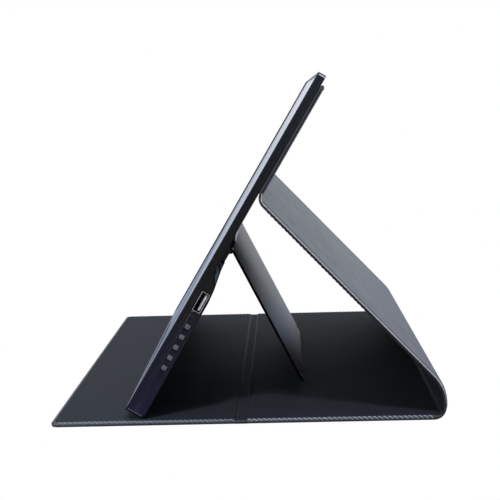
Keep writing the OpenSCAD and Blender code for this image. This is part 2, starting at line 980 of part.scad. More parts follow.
front_leather();
front_board();
front_lining();
fold_strip();
base_leather();
base_board();
base_lining();
rear_crease();
spine_leather();
spine_board();
spine_lining();
spine_bend();
back_leather();
back_board();
back_lining();
top_fold();
flap_leather();
flap_board();
flap_bond();
front_glass();
bezel_frame();
display_cell();
diffuser_films();
light_guide();
reflector_sheet();
light_strip();
display_tray();
rear_case();
lower_housing();
case_screws();
main_board();
board_chips();
board_screws();
usb_board();
link_cable();
panel_cable();
button_board();
button_cable();
button_switches();
button_1();
button_2();
button_3();
button_4();
button_5();
status_light();
usb_shell();
usb_tongue();
video_socket();
power_socket();
hinge_block();
hinge_pins();
kickstand_plate();
kickstand_pads();
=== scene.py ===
"""Looks of a portable monitor that stands on its folding cover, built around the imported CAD."""
import math

import bmesh
import bpy
from mathutils import Matrix, Vector


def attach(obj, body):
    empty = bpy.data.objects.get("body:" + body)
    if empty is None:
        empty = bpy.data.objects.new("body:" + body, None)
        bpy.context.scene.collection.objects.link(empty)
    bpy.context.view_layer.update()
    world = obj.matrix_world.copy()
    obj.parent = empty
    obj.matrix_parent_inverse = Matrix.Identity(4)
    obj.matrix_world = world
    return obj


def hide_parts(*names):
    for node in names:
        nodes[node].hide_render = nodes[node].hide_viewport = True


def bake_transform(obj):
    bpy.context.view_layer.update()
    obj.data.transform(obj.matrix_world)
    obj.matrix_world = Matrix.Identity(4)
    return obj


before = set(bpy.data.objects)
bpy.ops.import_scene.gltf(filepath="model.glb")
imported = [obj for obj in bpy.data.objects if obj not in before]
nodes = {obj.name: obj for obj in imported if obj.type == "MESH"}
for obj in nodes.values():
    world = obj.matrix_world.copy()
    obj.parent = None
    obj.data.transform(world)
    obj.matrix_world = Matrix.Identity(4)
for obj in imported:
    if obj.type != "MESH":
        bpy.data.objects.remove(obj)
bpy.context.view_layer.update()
MM = 0.001


# Camera, from the photograph's vanishing lines
CAMERA_AT = (0.931563, 0.024573, 0.195459)
CAMERA_HEADING = 91.613
CAMERA_PITCH = -6.788
CAMERA_ROLL = -1.566
CAMERA_LENS = 89.24

# Cover, in metres, as in the CAD source
COVER_W = 382 * MM
COVER_T = 3.0 * MM
LEATHER_T = 0.9 * MM
LINING_T = 0.7 * MM
FRONT_LEN = 113.7 * MM
STRIP_LEN = 7.7 * MM
BASE_LEN = 114.1 * MM
CREASE_R = 9 * MM
SPINE_H = 19.5 * MM
BEND_GAP = 2.6 * MM
FOLD_H = 154.2 * MM
FOLD_R = 6.3 * MM
FOLD_RUN = 2.9 * MM
FLAP_T = 2.6 * MM
FLAP_DROP = 5.8 * MM
CORNER_R = 5 * MM
HEM_W = 4 * MM
THIN = 1.1 * MM
SLOPE_W = 6 * MM

# Monitor, in metres and degrees, as in the CAD source
LEAN = math.radians(58.7)
MON_W = 372 * MM
MON_H = 238.3 * MM
CASE_D = 4.7 * MM
FOOT_SETBACK = 46.4 * MM
HEEL_D = 10.4 * MM
REST_GAP = 0.3 * MM
ACTIVE_W = 344.2 * MM
ACTIVE_H = 193.6 * MM
TOP_BORDER = 15.1 * MM

BASE_START = FRONT_LEN + STRIP_LEN
BASE_END = BASE_START + BASE_LEN
Y_BACK = BASE_END + CREASE_R
Y_MID = Y_BACK / 2
FOOT_Z = COVER_T + REST_GAP + HEEL_D * math.cos(LEAN)
MONITOR_UP = Vector((0, math.cos(LEAN), math.sin(LEAN)))
MONITOR_BACK = Vector((0, math.sin(LEAN), -math.cos(LEAN)))
MONITOR_FOOT = Vector((0, FOOT_SETBACK - Y_MID, FOOT_Z))


def on_monitor(x, depth, height):
    """A point on the monitor: across it, into its depth, and up its face."""
    return MONITOR_FOOT + Vector((x, 0, 0)) + depth * MONITOR_BACK + height * MONITOR_UP


# The cover's middle surface, as runs of (length, turn in radians), from free edge to flap end
fold_corner = on_monitor(0, CASE_D + FLAP_T / 2, FOLD_H) + Vector((0, Y_MID, 0))
panel_run = Vector((fold_corner.y - Y_BACK + COVER_T / 2, fold_corner.z - SPINE_H))
PANEL_ANGLE = math.atan2(panel_run.y, -panel_run.x)
SPINE_TURN = math.pi / 2 - PANEL_ANGLE
SPINE_TAN = SPINE_H - CREASE_R
SPINE_R = SPINE_TAN / math.tan(SPINE_TURN / 2)
FOLD_TURN = math.pi - PANEL_ANGLE - LEAN
FOLD_TAN = FOLD_R * math.tan(FOLD_TURN / 2)
CREASE_MID_R = CREASE_R - COVER_T / 2
FLAP_LEN = MON_H - FLAP_DROP - FOLD_H - FOLD_TAN
RUNS = [
    (BASE_END, 0),
    (CREASE_MID_R * math.pi / 2, math.pi / 2),
    (SPINE_R * SPINE_TURN, SPINE_TURN),
    (panel_run.length - SPINE_TAN - FOLD_TAN, 0),
    (FOLD_R * FOLD_TURN, -FOLD_TURN),
    (FLAP_LEN, 0),
]
CREASE_END = BASE_END + RUNS[1][0]
SPINE_PART = (RUNS[2][0] - BEND_GAP) / 2
SPINE_END = CREASE_END + SPINE_PART
BACK_START = SPINE_END + BEND_GAP
PANEL_END = CREASE_END + RUNS[2][0] + RUNS[3][0]
BACK_END = PANEL_END - FOLD_RUN
FLAP_START = PANEL_END + RUNS[4][0]
COVER_LEN = FLAP_START + FLAP_LEN


def cover_frame(s):
    """Middle of the cover at a distance along it, and its heading there."""
    y, z, heading = -Y_MID, COVER_T / 2, 0.0
    for length, turn in RUNS:
        step = min(s, length)
        bend = turn / length
        if bend:
            y += (math.sin(heading + bend * step) - math.sin(heading)) / bend
            z += (math.cos(heading) - math.cos(heading + bend * step)) / bend
        else:
            y += step * math.cos(heading)
            z += step * math.sin(heading)
        heading += bend * step
        s -= step
        if s <= 0:
            break
    return y, z, heading


def cover_point(x, s, n):
    """A point across the cover, along it, and above its middle, towards the lining."""
    y, z, heading = cover_frame(s)
    return Vector((x, y - n * math.sin(heading), z + n * math.cos(heading)))


# Node helpers
def new_material(name):
    mat = bpy.data.materials.new(name)
    mat.use_nodes = True
    tree = mat.node_tree
    return mat, tree, tree.nodes["Principled BSDF"]


def add(tree, kind, **values):
    """A node of that kind, with its inputs or properties set by name."""
    node = tree.nodes.new(kind)
    for key, value in values.items():
        socket = node.inputs.get(key.replace("_", " "))
        if socket is not None:
            socket.default_value = value
        else:
            setattr(node, key, value)
    return node


def srgb(r, g, b):
    """A colour as seen on a screen, 0 to 255, made linear."""
    def linear(c):
        c /= 255
        return c / 12.92 if c <= 0.04045 else ((c + 0.055) / 1.055) ** 2.4
    return linear(r), linear(g), linear(b), 1


def flat_map(tree, angle=0.0):
    """Pattern coordinates on the cover, in metres across and along, turned by an angle."""
    source = add(tree, "ShaderNodeUVMap", uv_map="plan")
    turned = add(tree, "ShaderNodeMapping")
    turned.inputs["Rotation"].default_value = (0, 0, angle)
    tree.links.new(source.outputs["UV"], turned.inputs["Vector"])
    return turned.outputs["Vector"]


def solid_map(tree, rotation=(0, 0, 0), scale=(1, 1, 1)):
    """Pattern coordinates in the object's own space, in metres."""
    source = add(tree, "ShaderNodeTexCoord")
    turned = add(tree, "ShaderNodeMapping")
    turned.inputs["Rotation"].default_value = rotation
    turned.inputs["Scale"].default_value = scale
    tree.links.new(source.outputs["Object"], turned.inputs["Vector"])
    return turned.outputs["Vector"]


def noise(tree, vector, scale, detail=3.0, roughness=0.5):
    node = add(tree, "ShaderNodeTexNoise", Scale=scale, Detail=detail, Roughness=roughness)
    tree.links.new(vector, node.inputs["Vector"])
    return node.outputs["Fac"]


def wave(tree, vector, pitch, distortion=0.0):
    """Soft ridges at that pitch, in metres, along the first coordinate."""
    node = add(tree, "ShaderNodeTexWave", Scale=0.1 * math.pi / pitch, Distortion=distortion)
    node.bands_direction = "X"
    tree.links.new(vector, node.inputs["Vector"])
    return node.outputs["Fac"]


def math_node(tree, operation, a, b):
    node = add(tree, "ShaderNodeMath", operation=operation)
    for i, value in enumerate((a, b)):
        if isinstance(value, (int, float)):
            node.inputs[i].default_value = value
        else:
            tree.links.new(value, node.inputs[i])
    return node.outputs["Value"]


def ramp(tree, factor, low, high, start=0.3, end=0.7):
    """Blends two colours, or two greys given as numbers, over a range of the factor."""
    node = add(tree, "ShaderNodeValToRGB")
    node.color_ramp.elements[0].position = start
    node.color_ramp.elements[1].position = end
    for element, value in zip(node.color_ramp.elements, (low, high)):
        element.color = value if isinstance(value, tuple) else (value, value, value, 1)
    tree.links.new(factor, node.inputs["Fac"])
    return node.outputs["Color"]


def bump(tree, shader, height, distance, strength=1.0, below=None):
    node = add(tree, "ShaderNodeBump", Distance=distance, Strength=strength)
    tree.links.new(height, node.inputs["Height"])
    if below is not None:
        tree.links.new(below.outputs["Normal"], node.inputs["Normal"])
    tree.links.new(node.outputs["Normal"], shader.inputs["Normal"])
    return node


def outer_leather():
    """Smooth coated leather with a fine slanted linen grain, shiny at a low angle."""
    mat, tree, shader = new_material("outer_leather")
    wide = flat_map(tree)
    streak = solid_map(tree, scale=(0.12, 1, 1))
    tone = math_node(tree, "ADD", noise(tree, streak, 160, 5), noise(tree, wide, 30, 2))
    tone = math_node(tree, "MULTIPLY", tone, 0.5)
    tree.links.new(ramp(tree, tone, srgb(42, 45, 54), srgb(52, 55, 65)),
                   shader.inputs["Base Color"])
    tree.links.new(ramp(tree, tone, 0.45, 0.39), shader.inputs["Roughness"])
    weave_a = wave(tree, flat_map(tree, math.radians(38)), 0.7 * MM, 1.5)
    weave_b = wave(tree, flat_map(tree, math.radians(-52)), 0.9 * MM, 1.5)
    grain = bump(tree, shader, noise(tree, wide, 2600, 2), 0.02 * MM, 0.5)
    bump(tree, shader, math_node(tree, "MULTIPLY", weave_a, weave_b), 0.03 * MM, 0.5, grain)
    shader.inputs["Specular IOR Level"].default_value = 0.55
    return mat


def edge_leather(name, dark, light):
    """Painted side of the leather, in two close tones."""
    mat, tree, shader = new_material(name)
    wide = flat_map(tree)
    tree.links.new(ramp(tree, noise(tree, wide, 700, 3), dark, light), shader.inputs["Base Color"])
    bump(tree, shader, noise(tree, wide, 2600, 2), 0.03 * MM, 0.5)
    shader.inputs["Roughness"].default_value = 0.55
    shader.inputs["Specular IOR Level"].default_value = 0.4
    return mat


WEAVE_PITCH = 0.55 * MM


def lining_cloth():
    """Matt woven lining, dark blue-grey, with a faint crosswise nap."""
    mat, tree, shader = new_material("lining_cloth")
    wide = flat_map(tree)
    tone = noise(tree, wide, 22, 4, 0.6)
    tree.links.new(ramp(tree, tone, srgb(27, 30, 35), srgb(32, 35, 41), 0.3, 0.75),
                   shader.inputs["Base Color"])
    tree.links.new(ramp(tree, noise(tree, wide, 900, 2), 0.6, 0.72), shader.inputs["Roughness"])
    across = wave(tree, wide, WEAVE_PITCH, 0.8)
    along = wave(tree, flat_map(tree, math.radians(90)), WEAVE_PITCH, 0.8)
    cloth = bump(tree, shader, noise(tree, wide, 1500, 3), 0.05 * MM, 0.6)
    bump(tree, shader, math_node(tree, "ADD", across, along), 0.05 * MM, 0.6, cloth)
    shader.inputs["Specular IOR Level"].default_value = 0.07
    return mat


def thread(name, dark, light):
    """Twisted sewing thread."""
    mat, tree, shader = new_material(name)
    fine = solid_map(tree)
    tree.links.new(ramp(tree, noise(tree, fine, 3000, 2), dark, light), shader.inputs["Base Color"])
    bump(tree, shader, wave(tree, fine, 0.25 * MM, 2.0), 0.04 * MM, 0.7)
    shader.inputs["Roughness"].default_value = 0.6
    return mat


def casing():
    """Satin moulded plastic with a painted reflection up its height: blue-black at the foot, black
    in the middle, charcoal at the top.
    """
    mat, tree, shader = new_material("casing")
    fine = solid_map(tree)
    height = add(tree, "ShaderNodeSeparateXYZ")
    tree.links.new(fine, height.inputs["Vector"])
    # Painted reflection: the colour steps from blue-black at the foot through black to charcoal at
    # the top
    rise = math_node(tree, "MULTIPLY", height.outputs["Z"], 1 / (MON_H * math.sin(LEAN)))
    tone = add(tree, "ShaderNodeMix", data_type="RGBA")
    tree.links.new(ramp(tree, rise, 0.0, 1.0, 0.5, 1.0), tone.inputs[0])
    tree.links.new(ramp(tree, rise, srgb(9, 13, 36), srgb(11, 11, 12), 0.03, 0.45), tone.inputs[6])
    tone.inputs[7].default_value = srgb(30, 34, 40)
    tree.links.new(tone.outputs[2], shader.inputs["Base Color"])
    tree.links.new(ramp(tree, noise(tree, fine, 600, 3), 0.17, 0.23), shader.inputs["Roughness"])
    bump(tree, shader, noise(tree, fine, 5200, 2), 0.012 * MM, 0.6)
    return mat


def screen_glass():
    """Polished glass: black border print around the slightly lighter picture area."""
    mat, tree, shader = new_material("screen_glass")
    turned = solid_map(tree, rotation=(math.pi / 2 - LEAN, 0, 0))
    place = add(tree, "ShaderNodeSeparateXYZ")
    tree.links.new(turned, place.inputs["Vector"])
    foot = Matrix.Rotation(math.pi / 2 - LEAN, 3, "X") @ MONITOR_FOOT
    middle = foot.z + MON_H - TOP_BORDER - ACTIVE_H / 2
    aside = math_node(tree, "ABSOLUTE", place.outputs["X"], 0)
    above = math_node(tree, "ABSOLUTE", math_node(tree, "SUBTRACT", place.outputs["Z"], middle), 0)
    inside = math_node(tree, "MULTIPLY", math_node(tree, "LESS_THAN", aside, ACTIVE_W / 2),
                       math_node(tree, "LESS_THAN", above, ACTIVE_H / 2))
    tree.links.new(ramp(tree, inside, srgb(12, 12, 14), srgb(26, 28, 34), 0.4, 0.6),
                   shader.inputs["Base Color"])
    tree.links.new(ramp(tree, noise(tree, turned, 14, 3), 0.05, 0.09), shader.inputs["Roughness"])
    shader.inputs["Specular IOR Level"].default_value = 0.5
    shader.inputs["Coat Weight"].default_value = 0.5
    shader.inputs["Coat Roughness"].default_value = 0.04
    return mat


def metal(name, dark, light, rough_low, rough_high, brush=(1, 1, 1)):
    """Metal with fine brush lines, stretched where the scale is small."""
    mat, tree, shader = new_material(name)
    lines = solid_map(tree, scale=brush)
    tone = noise(tree, lines, 900, 4, 0.6)
    tree.links.new(ramp(tree, tone, dark, light), shader.inputs["Base Color"])
    tree.links.new(ramp(tree, tone, rough_low, rough_high), shader.inputs["Roughness"])
    bump(tree, shader, tone, 0.01 * MM, 0.4)
    shader.inputs["Metallic"].default_value = 0.9
    return mat


def coated(name, dark, light, roughness, scale=300, depth=0.02):
    """Paint, card, film or rubber: two close tones and a fine bump."""
    mat, tree, shader = new_material(name)
    fine = solid_map(tree)
    tree.links.new(ramp(tree, noise(tree, fine, scale, 3), dark, light),
                   shader.inputs["Base Color"])
    bump(tree, shader, noise(tree, fine, scale * 6, 2), depth * MM, 0.5)
    shader.inputs["Roughness"].default_value = roughness
    return mat


def kick_coating():
    """Warm grey anodised plate, finely brushed down its length, with dark painted shade on its side
    edges.
    """
    mat, tree, shader = new_material("kick_coating")
    lines = solid_map(tree, scale=(1, 0.05, 0.05))
    tone = noise(tree, lines, 1400, 4, 0.6)
    # Painted shade: faces turned sideways, the plate's side edges, take a near-black colour
    facing = add(tree, "ShaderNodeSeparateXYZ")
    tree.links.new(add(tree, "ShaderNodeTexCoord").outputs["Normal"], facing.inputs["Vector"])
    shaded_side_mask = math_node(tree, "ABSOLUTE", facing.outputs["X"], 0)
    edge = add(tree, "ShaderNodeMix", data_type="RGBA")
    tree.links.new(ramp(tree, shaded_side_mask, 0.0, 1.0, 0.4, 0.6), edge.inputs[0])
    tree.links.new(ramp(tree, tone, srgb(151, 142, 135), srgb(166, 157, 149)), edge.inputs[6])
    edge.inputs[7].default_value = srgb(20, 20, 22)
    tree.links.new(edge.outputs[2], shader.inputs["Base Color"])
    tree.links.new(ramp(tree, tone, 0.34, 0.4), shader.inputs["Roughness"])
    bump(tree, shader, tone, 0.008 * MM, 0.4)
    shader.inputs["Metallic"].default_value = 0.85
    return mat


SOCKET_DEPTH = 10 * MM


def socket_steel():
    """Bright plated steel at the socket's mouth, with dark painted shade further in."""
    mat, tree, shader = new_material("socket_steel")
    fine = solid_map(tree)
    place = add(tree, "ShaderNodeSeparateXYZ")
    tree.links.new(fine, place.inputs["Vector"])
    # Painted shade: the steel turns dark over the first part of the socket's depth
    aside = math_node(tree, "ABSOLUTE", place.outputs["X"], 0)
    shade_depth = math_node(tree, "SUBTRACT", MON_W / 2, aside)
    shade_depth = math_node(tree, "MULTIPLY", shade_depth, 1 / SOCKET_DEPTH)
    tree.links.new(ramp(tree, shade_depth, srgb(176, 172, 166), srgb(20, 21, 25), 0.02, 0.06),
                   shader.inputs["Base Color"])
    tree.links.new(ramp(tree, noise(tree, fine, 900, 2), 0.28, 0.4), shader.inputs["Roughness"])
    shader.inputs["Metallic"].default_value = 0.6
    return mat


def light_lens():
    """Dark, switched-off status light."""
    mat, tree, shader = new_material("light_lens")
    fine = solid_map(tree)
    tree.links.new(ramp(tree, noise(tree, fine, 800, 2), srgb(26, 29, 36), srgb(38, 41, 48)),
                   shader.inputs["Base Color"])
    shader.inputs["Roughness"].default_value = 0.2
    return mat


leather_mat = outer_leather()
# One painted leather edge in two copies: the darker one on the raised stretches is painted shade,
# the lighter one on the flat front and base panels is painted light
shaded_edge_mat = edge_leather("edge_leather", srgb(18, 19, 24), srgb(26, 28, 33))
lit_edge_mat = edge_leather("lit_edge_leather", srgb(43, 46, 54), srgb(55, 59, 67))
lining_mat = lining_cloth()
# One grey thread in four copies, with painted light and shade: lit on the back panel's top
# shoulder, shaded on the front flap, darkest on the inner lip
thread_mat = thread("thread", srgb(122, 126, 138), srgb(146, 150, 162))
shaded_thread_mat = thread("shaded_thread", srgb(98, 102, 113), srgb(118, 122, 134))
lit_thread_mat = thread("lit_thread", srgb(158, 162, 168), srgb(182, 186, 193))
deep_shade_thread_mat = thread("deep_shade_thread", srgb(30, 32, 38), srgb(44, 47, 54))
casing_mat = casing()
top_edge_highlight_mat = coated("top_edge_highlight", srgb(222, 224, 230), srgb(236, 238, 243), 0.35, 600, 0.004)
foot_edge_highlight_mat = coated("foot_edge_highlight", srgb(58, 57, 72), srgb(70, 69, 85), 0.35, 600, 0.004)
block_mat = coated("hinge_plastic", srgb(14, 14, 16), srgb(22, 22, 24), 0.14, 600, 0.004)
glass_mat = screen_glass()
steel_mat = metal("bright_steel", srgb(150, 152, 158), srgb(190, 192, 198), 0.25, 0.38)
tray_mat = metal("tray_steel", srgb(140, 142, 146), srgb(168, 170, 174), 0.35, 0.5, (0.1, 1, 1))
kick_mat = kick_coating()
rubber_mat = coated("rubber", srgb(150, 152, 156), srgb(176, 178, 182), 0.6)
board_mat = coated("card_board", srgb(120, 108, 86), srgb(150, 138, 112), 0.85, 120, 0.05)
film_mat = coated("white_film", srgb(222, 226, 230), srgb(236, 240, 243), 0.45)
bond_mat = coated("bond_film", srgb(62, 58, 58), srgb(80, 76, 75), 0.5)
cell_mat = coated("display_cell", srgb(10, 11, 15), srgb(16, 17, 22), 0.15)
circuit_mat = coated("circuit_board", srgb(20, 74, 46), srgb(34, 98, 62), 0.45, 900, 0.03)
chip_mat = coated("chip_resin", srgb(24, 24, 26), srgb(36, 36, 38), 0.5)
ribbon_mat = coated("ribbon", srgb(206, 202, 188), srgb(224, 220, 206), 0.5)
switch_mat = coated("switch_body", srgb(188, 188, 188), srgb(206, 206, 206), 0.4)
button_mat = coated("button_cap", srgb(60, 62, 67), srgb(86, 89, 96), 0.42, 500, 0.02)
button_rim_shade_mat = coated("button_rim_shade", srgb(14, 15, 20), srgb(22, 23, 28), 0.35)
tongue_side_mat = coated("tongue_side", srgb(20, 22, 28), srgb(32, 35, 42), 0.4)
socket_mat = socket_steel()
tongue_mat = coated("socket_tongue", srgb(160, 164, 172), srgb(180, 184, 192), 0.4)
lens_mat = light_lens()


# Mesh helpers
def finish_mesh(name, mesh_data, mats, sharp=40):
    """An object of that mesh, with clean normals and smooth shading up to an angle in degrees."""
    mesh = bpy.data.meshes.new(name)
    bmesh.ops.recalc_face_normals(mesh_data, faces=mesh_data.faces)
    mesh_data.to_mesh(mesh)
    mesh_data.free()
    for mat in mats:
        mesh.materials.append(mat)
    mesh.shade_smooth()
    mesh.set_sharp_from_angle(angle=math.radians(sharp))
    piece = bpy.data.objects.new(name, mesh)
    bpy.context.scene.collection.objects.link(piece)
    return piece


def sweep(name, stations, ring, mats, zone=None):
    """A closed solid along the cover.

    ring(s) gives its outline at s as points (x, n), always the same number of them, and zone(i)
    the material of the face that starts at point i.
    """
    data = bmesh.new()
    plan = data.loops.layers.uv.new("plan")
    rows, around = [], []
    for s in stations:
        points = ring(s)
        rows.append([data.verts.new(cover_point(x, s, n)) for x, n in points])
        if not around:
            run = 0.0
            for i, point in enumerate(points):
                around.append(run)
                run += math.dist(point, points[(i + 1) % len(points)])
            around.append(run)
    count = len(rows[0])
    for k in range(len(rows) - 1):
        for i in range(count):
            j = (i + 1) % count
            face = data.faces.new((rows[k][i], rows[k][j], rows[k + 1][j], rows[k + 1][i]))
            if zone:
                face.material_index = zone(i)
            u, v = around[i], around[i + 1]
            here, there = stations[k], stations[k + 1]
            for loop, spot in zip(face.loops, ((u, here), (v, here), (v, there), (u, there))):
                loop[plan].uv = spot
    for row, s in ((rows[0], stations[0]), (rows[-1], stations[-1])):
        face = data.faces.new(row)
        for loop, (x, n) in zip(face.loops, ring(s)):
            loop[plan].uv = (x, s + n)
    return finish_mesh(name, data, mats)


# Steps in a quarter circle, a step's turn where the cover bends, and the stations' spacing
ARC_STEPS = 5
TURN_STEP = math.radians(4)
LONGEST_STEP = 12 * MM
SHORTEST_STEP = 0.004 * MM


def easing(start, end, soft_start, soft_end):
    """Stations of a stretch: close together at its soft ends, and where the cover bends."""
    marks = {start, end}
    for edge, soft, way in ((start, soft_start, 1), (end, soft_end, -1)):
        for k in range(ARC_STEPS + 1):
            marks.add(edge + way * soft * (1 - math.cos(math.pi / 2 * k / ARC_STEPS)))
    at = 0.0
    for length, turn in RUNS:
        steps = max(1, round(abs(turn) / TURN_STEP))
        for k in range(steps + 1):
            mark = at + length * k / steps
            if start < mark < end:
                marks.add(mark)
        at += length
    steps = max(1, round((end - start) / LONGEST_STEP))
    marks.update(start + (end - start) * k / steps for k in range(steps + 1))
    chosen = []
    for mark in sorted(marks):
        if not chosen or mark - chosen[-1] > SHORTEST_STEP:
            chosen.append(mark)
    chosen[-1] = end
    return chosen


SLOPE_STEPS = 5
SIDE_POINTS = SLOPE_STEPS + 2 * (ARC_STEPS + 1)
ROUNDNESS = 0.95


def round_edge(x, low, high, r):
    """Round edge at x, from the low face to the high one."""
    turns = [math.pi / 2 * k / ARC_STEPS for k in range(ARC_STEPS + 1)]
    return ([(x - r + r * math.sin(a), low + r - r * math.cos(a)) for a in turns]
            + [(x - r + r * math.cos(a), high - r + r * math.sin(a)) for a in turns])


def smooth(t):
    """From 0 to 1, with no slope at either end."""
    t = min(1.0, max(0.0, t))
    return t * t * (3 - 2 * t)


def hem_edge(x, low, high, thin):
    """Side at x whose outer face slopes in to a thinner, round edge."""
    r = (high - low - thin) / 2 * ROUNDNESS
    slope = []
    for k in range(SLOPE_STEPS):
        t = k / SLOPE_STEPS
        slope.append((x - r - SLOPE_W * (1 - t), low + thin * smooth(t)))
    return slope + round_edge(x, low + thin, high, r)


# The leather's lip around the lining and the seam beside it, the roundings of free ends, of
# joints between stretches and of the lining, and how far a ring stays open at an end
LIP_W = 2.2 * MM
SEAM = 0.25 * MM
FREE_R = 1.3 * MM
JOINT_R = 0.03 * MM
JOINT_SHARE = 1 - JOINT_R / COVER_T * 2
LINING_R = 0.3 * MM
SMALL_STEP = 0.02 * MM
CORNER_STEPS = 8
LEAST_OPEN = 0.03
LINING_OPEN = 0.9


def end_scale(s, start, end, soft_start, soft_end):
    """How far the section has opened at s: 0 at a round end, 1 past it."""
    share = 1.0
    for away, soft in ((s - start, soft_start), (end - s, soft_end)):
        if soft and away < soft:
            share = min(share, math.sqrt(max(0.0, 1 - (1 - away / soft) ** 2)))
    return share


def corner_in(s, start, end, round_start, round_end, r):
    """How far a round corner draws the side in at s."""
    inset = 0.0
    for away, is_round in ((s - start, round_start), (end - s, round_end)):
        if is_round and away < r:
            inset = max(inset, r - math.sqrt(max(0.0, r * r - (r - away) ** 2)))
    return inset


def mirrored(points):
    """A ring from its +X half, which runs from the outer face's middle to the inner one's."""
    return points + [(-x, n) for x, n in reversed(points)]


class Stretch:
    """One panel or soft stretch of the cover, from start to end along it."""

    def __init__(self, start, end, low, high, thin=(0, 0), free_start=False, free_end=False):
        self.start = start
        self.end = end
        self.low = low
        self.high = high
        self.thin = thin
        self.free_start = free_start
        self.free_end = free_end
        self.soft_start = FREE_R if free_start else JOINT_R
        self.soft_end = FREE_R if free_end else JOINT_R

    def span(self, inset):
        """Its start and end, drawn in by an inset where they are free."""
        start = self.start + (inset if self.free_start else 0)
        return start, self.end - (inset if self.free_end else 0)

    def stations(self, inset=0.0):
        """Places along it where a ring is needed."""
        start, end = self.span(inset)
        marks = easing(start, end, self.soft_start, self.soft_end)
        extra = []
        for depth in (LIP_W, HEM_W):
            if self.free_start and inset == 0:
                extra += [self.start + depth - SMALL_STEP, self.start + depth]
            if self.free_end and inset == 0:
                extra += [self.end - depth, self.end - depth + SMALL_STEP]
        for k in range(1, CORNER_STEPS + 1):
            away = CORNER_R * (1 - math.cos(math.pi / 2 * k / CORNER_STEPS))
            if self.free_start:
                extra.append(start + away)
            if self.free_end:
                extra.append(end - away)
        return sorted(set(marks) | set(extra))

    def half_width(self, s, inset=0.0):
        """From the middle to the side at s, less at a round corner."""
        drawn_in = corner_in(s, *self.span(inset), self.free_start, self.free_end, CORNER_R)
        return COVER_W / 2 - inset - drawn_in

    def thinned(self, s):
        """How much thinner the side edge is at s than the middle."""
        first, last = self.thin
        return first + (last - first) * smooth((s - self.start) / (self.end - self.start))

    def opened(self, s, points, inset=0.0, least=LEAST_OPEN):
        """The ring at s, closed in towards its middle near the ends."""
        start, end = self.span(inset)
        share = max(least, end_scale(s, start, end, self.soft_start, self.soft_end))
        middle = (self.low + self.high) / 2
        if not self.free_start and s - start < self.soft_start:
            share = max(share, JOINT_SHARE)
        if not self.free_end and end - s < self.soft_end:
            share = max(share, JOINT_SHARE)
        return [(x, middle + (n - middle) * share) for x, n in points]

    def shell_ring(self, s):
        """Leather wrapped around a pocket for the board, with a lip around the lining."""
        half = self.half_width(s)
        away = min(s - self.start if self.free_start else 1, self.end - s if self.free_end else 1)
        shelf = self.high - (SMALL_STEP if away < LIP_W else LINING_T)
        bed = self.low + LEATHER_T if away >= HEM_W else shelf - SMALL_STEP
        lip, hem = half - LIP_W, half - HEM_W
        points = hem_edge(half, self.low, self.high, self.thinned(s))
        points += [(lip, self.high), (lip, shelf), (hem, shelf), (hem, bed)]
        return self.opened(s, mirrored(points))

    def lining_ring(self, s):
        """Lining that lies inside the leather's lip."""
        inset = LIP_W + SEAM
        points = round_edge(self.half_width(s, inset), self.high - LINING_T, self.high, LINING_R)
        return self.opened(s, mirrored(points), inset, LINING_OPEN)

    def solid_ring(self, s, low, high):
        """A filled outline from the low face to the high one."""
        half = self.half_width(s)
        points = hem_edge(half, low, high, self.thinned(s)) + [(half - LIP_W, high)]
        return self.opened(s, mirrored(points))

    def soft_ring(self, s):
        """Leather and lining in one."""
        return self.solid_ring(s, self.low, self.high)


class Bend(Stretch):
    """A soft stretch whose hollow side is creased to a line.

    Side 1 is the lining's, -1 the outer one. The crease takes away `most` at most, and `ends`
    holds the thickness at the start and the end.
    """

    def __init__(self, start, end, radius, turn, side, most, ends, thin):
        super().__init__(start, end, -ends[0] / 2, ends[0] / 2, thin)
        self.radius = radius
        self.turn = turn
        self.side = side
        self.most = most
        self.ends = ends

    def soft_ring(self, s):
        share = smooth((s - self.start) / (self.end - self.start))
        thick = self.ends[0] + (self.ends[1] - self.ends[0]) * share
        turned = (s - self.end) / self.radius + self.turn
        apart = max(0.0, min(turned, self.turn - turned))
        hollow = self.radius - thick / 2
        cut = min(self.most, hollow * (1 / math.cos(apart) - 1))
        low, high = -thick / 2, thick / 2
        if self.side > 0:
            high -= cut
        else:
            low += cut
        return self.solid_ring(s, low, high)


# The cover's stretches, from its free edge to the flap's end
HALF_T = COVER_T / 2
EDGE = (THIN, THIN)
STRIP_DROP = 0.6 * MM
CREASE_CUT = 1.6 * MM
FOLD_CUT = 0.8 * MM
FLAP_THIN = 0.9 * MM
FRONT = Stretch(0, FRONT_LEN, -HALF_T, HALF_T, free_start=True)
STRIP = Stretch(FRONT_LEN, BASE_START, -HALF_T, HALF_T - STRIP_DROP)
BASE = Stretch(BASE_START, BASE_END, -HALF_T, HALF_T)
CREASE = Bend(BASE_END, CREASE_END, CREASE_MID_R, math.pi / 2, 1, CREASE_CUT,
              (COVER_T, COVER_T), (0, THIN))
SPINE = Stretch(CREASE_END, SPINE_END, -HALF_T, HALF_T, EDGE)
BEND = Stretch(SPINE_END, BACK_START, -HALF_T, HALF_T, EDGE)
BACK = Stretch(BACK_START, BACK_END, -HALF_T, HALF_T, EDGE)
FOLD = Bend(BACK_END, FLAP_START, FOLD_R, FOLD_TURN, -1, FOLD_CUT,
            (COVER_T, FLAP_T), (THIN, FLAP_THIN))
FLAP = Stretch(FLAP_START, COVER_LEN, -FLAP_T / 2, FLAP_T / 2, (FLAP_THIN, FLAP_THIN),
               free_end=True)


def dress(piece, replaced):
    """Lets a piece stand in for a CAD node, which it hides."""
    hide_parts(replaced)
    return piece


